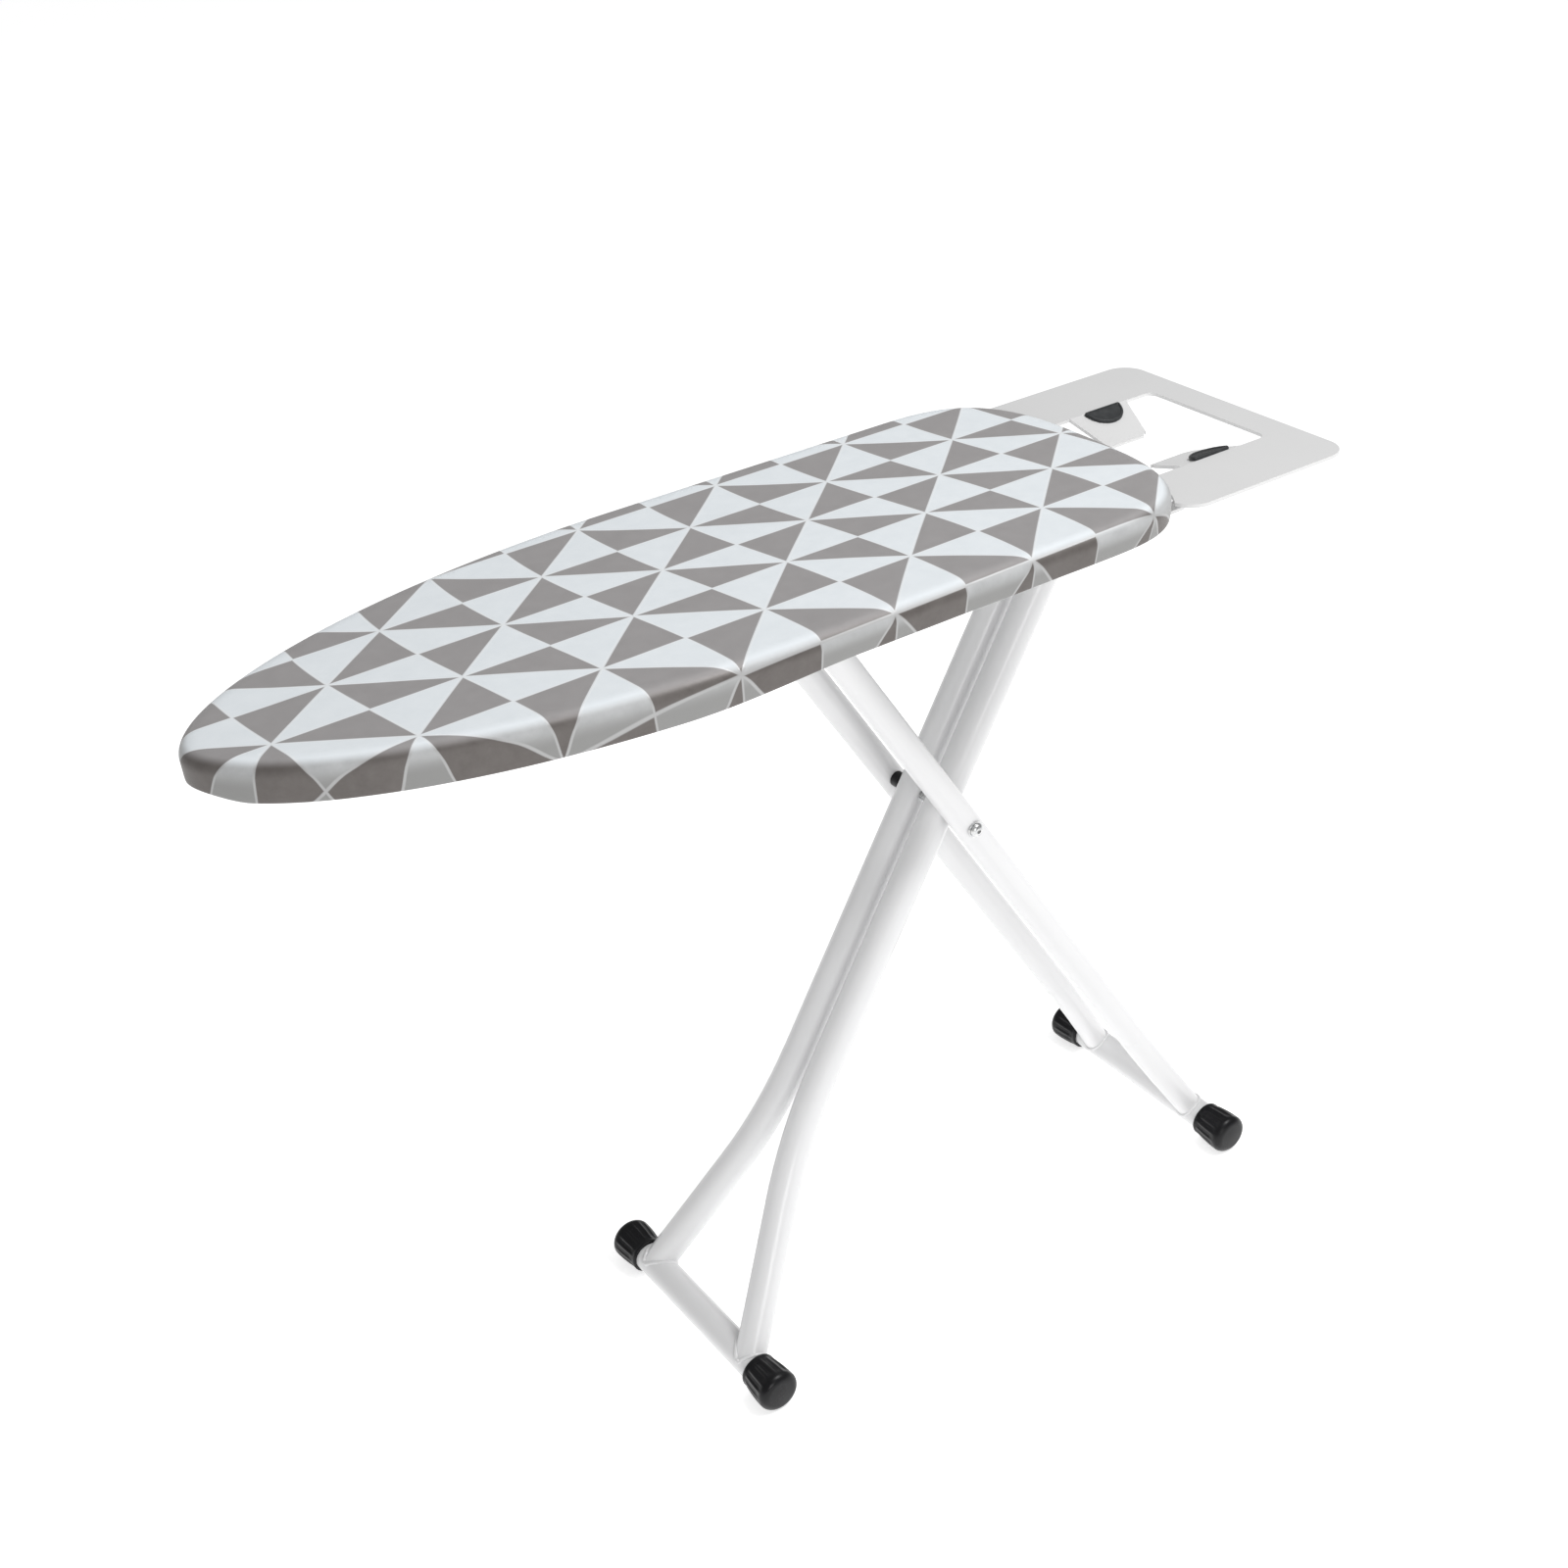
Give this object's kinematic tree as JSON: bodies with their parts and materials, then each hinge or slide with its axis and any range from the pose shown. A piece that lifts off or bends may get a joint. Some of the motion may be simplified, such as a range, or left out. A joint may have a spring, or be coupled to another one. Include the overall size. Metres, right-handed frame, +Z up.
{
  "type": "ironing board",
  "caption": "Folding ironing board: padded tapered top with a printed cover, X-crossed tubular legs that fold flat, foot caps and a flat iron rest at the square end.",
  "frame": {"origin": "on the floor, under the middle of the overall length and width", "axes": "+X from the nose of the board to the iron rest, +Y to the left of that direction, +Z up"},
  "size_m": [1.074, 0.331, 0.823],
  "materials": {
    "cover_print": "satin cotton with a silvery coating and a printed triangle pattern in grey and white",
    "underlay_felt": "foam and felt underlay",
    "deck_steel": "grey powder coat",
    "rest_steel": "light grey powder coat",
    "rest_silicone": "matt silicone",
    "leg_steel": "glossy white powder coat",
    "cap_plastic": "moulded near-black plastic",
    "zinc_steel": "zinc plated",
    "roller_nylon": "natural nylon",
    "grip_plastic": "soft dark grey plastic"
  },
  "bodies": {
    "board": {"cover": "cover_print", "underlay": "underlay_felt", "deck": "deck_steel", "rim": "deck_steel", "rail_left": "deck_steel", "rail_right": "deck_steel", "brake_rail": "deck_steel", "stiffener_1": "deck_steel", "stiffener_2": "deck_steel", "stiffener_3": "deck_steel", "stiffener_4": "deck_steel", "stiffener_5": "deck_steel", "hinge_bracket": "deck_steel", "rest_plate": "rest_steel", "rest_arm_left": "rest_steel", "rest_arm_right": "rest_steel", "rest_pad_left": "rest_silicone", "rest_pad_right": "rest_silicone", "rail_stops": "cap_plastic", "hinge_pin": "zinc_steel", "hinge_pin_nut": "zinc_steel", "rest_standoffs": "zinc_steel", "rest_screws": "zinc_steel"},
    "leg_a": {"leg_a_tube_left": "leg_steel", "leg_a_tube_right": "leg_steel", "hinge_sleeve": "leg_steel", "foot_bar_a": "leg_steel", "foot_cap_a_left": "cap_plastic", "foot_cap_a_right": "cap_plastic", "pivot_bush_left": "zinc_steel", "pivot_bush_right": "zinc_steel"},
    "leg_b": {"leg_b_tube_left": "leg_steel", "leg_b_tube_right": "leg_steel", "leg_b_plug_left": "cap_plastic", "leg_b_plug_right": "cap_plastic", "foot_bar_b": "leg_steel", "foot_cap_b_left": "cap_plastic", "foot_cap_b_right": "cap_plastic", "slide_rod": "zinc_steel", "roller_left": "roller_nylon", "roller_right": "roller_nylon", "rod_collars": "zinc_steel", "pivot_bolt": "zinc_steel", "pivot_nut": "zinc_steel", "pivot_washers": "zinc_steel", "pivot_spacer_left": "cap_plastic", "pivot_spacer_right": "cap_plastic", "lever_spring": "zinc_steel"},
    "lever": {"release_lever": "zinc_steel", "lever_grip": "grip_plastic"}
  },
  "joints": [
    {"name": "leg_fold", "type": "hinge", "parent": "board", "child": "leg_a", "pos_m": [0.31576, 0, 0.777], "axis": [0, 1, 0], "range_deg": [0, 54]},
    {"name": "leg_cross", "type": "hinge", "parent": "leg_a", "child": "leg_b", "pos_m": [0.1515, 0, 0.51], "axis": [0, 1, 0], "range_deg": [-108, 0]},
    {"name": "lever_release", "type": "hinge", "parent": "leg_b", "child": "lever", "pos_m": [-0.01276, 0, 0.777], "axis": [0, 1, 0], "range_deg": [0, 22], "stiffness_Nm_per_rad": 0.8, "springref_deg": -17.19}
  ],
  "couplings": [
    {"joint": "leg_cross", "follows": "leg_fold", "ratio": -2}
  ]
}
